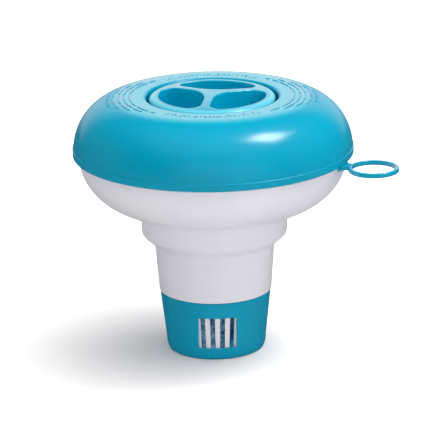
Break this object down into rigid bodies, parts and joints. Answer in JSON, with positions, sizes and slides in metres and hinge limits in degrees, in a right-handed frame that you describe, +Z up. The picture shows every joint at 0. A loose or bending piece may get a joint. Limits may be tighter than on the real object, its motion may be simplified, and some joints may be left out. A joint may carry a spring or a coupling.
{
  "type": "floating chlorine dispenser",
  "caption": "Domed float with a twist-off lid over a tablet tube, a white cup and slotted basket under it, a turning flow collar at the foot and a tether eye at the rim.",
  "frame": {"origin": "middle of the collar's flat foot, on the surface that the part stands on", "axes": "+Z up along the axis that every round piece shares, +X through the tether eye"},
  "size_m": [0.2125, 0.178, 0.1684],
  "materials": {
    "lid_plastic": "gloss",
    "seal_rubber": "matt",
    "float_plastic": "gloss",
    "white_plastic": "satin",
    "collar_plastic": "satin",
    "tablet": "matt"
  },
  "bodies": {
    "float_body": {"upper_float_shell": "float_plastic", "tablet_tube": "float_plastic", "tether_eye": "float_plastic", "lower_float_shell": "white_plastic", "neck": "white_plastic", "basket": "white_plastic", "tablet_1": "tablet", "tablet_2": "tablet", "tablet_3": "tablet", "tablet_4": "tablet", "tablet_5": "tablet", "tablet_6": "tablet"},
    "seal_body": {"lid_seal": "seal_rubber"},
    "lid_body": {"lid": "lid_plastic"},
    "collar_body": {"flow_collar": "collar_plastic"}
  },
  "joints": [
    {"name": "lid_lift", "type": "slide", "parent": "float_body", "child": "seal_body", "axis": [0, 0, 1], "range_m": [0, 0.06]},
    {"name": "lid_twist", "type": "hinge", "parent": "seal_body", "child": "lid_body", "pos_m": [0, 0, 0.1592], "axis": [0, 0, 1], "range_deg": [-35, 0]},
    {"name": "collar_turn", "type": "hinge", "parent": "float_body", "child": "collar_body", "pos_m": [0, 0, 0], "axis": [0, 0, 1], "range_deg": [-60, 0]}
  ]
}
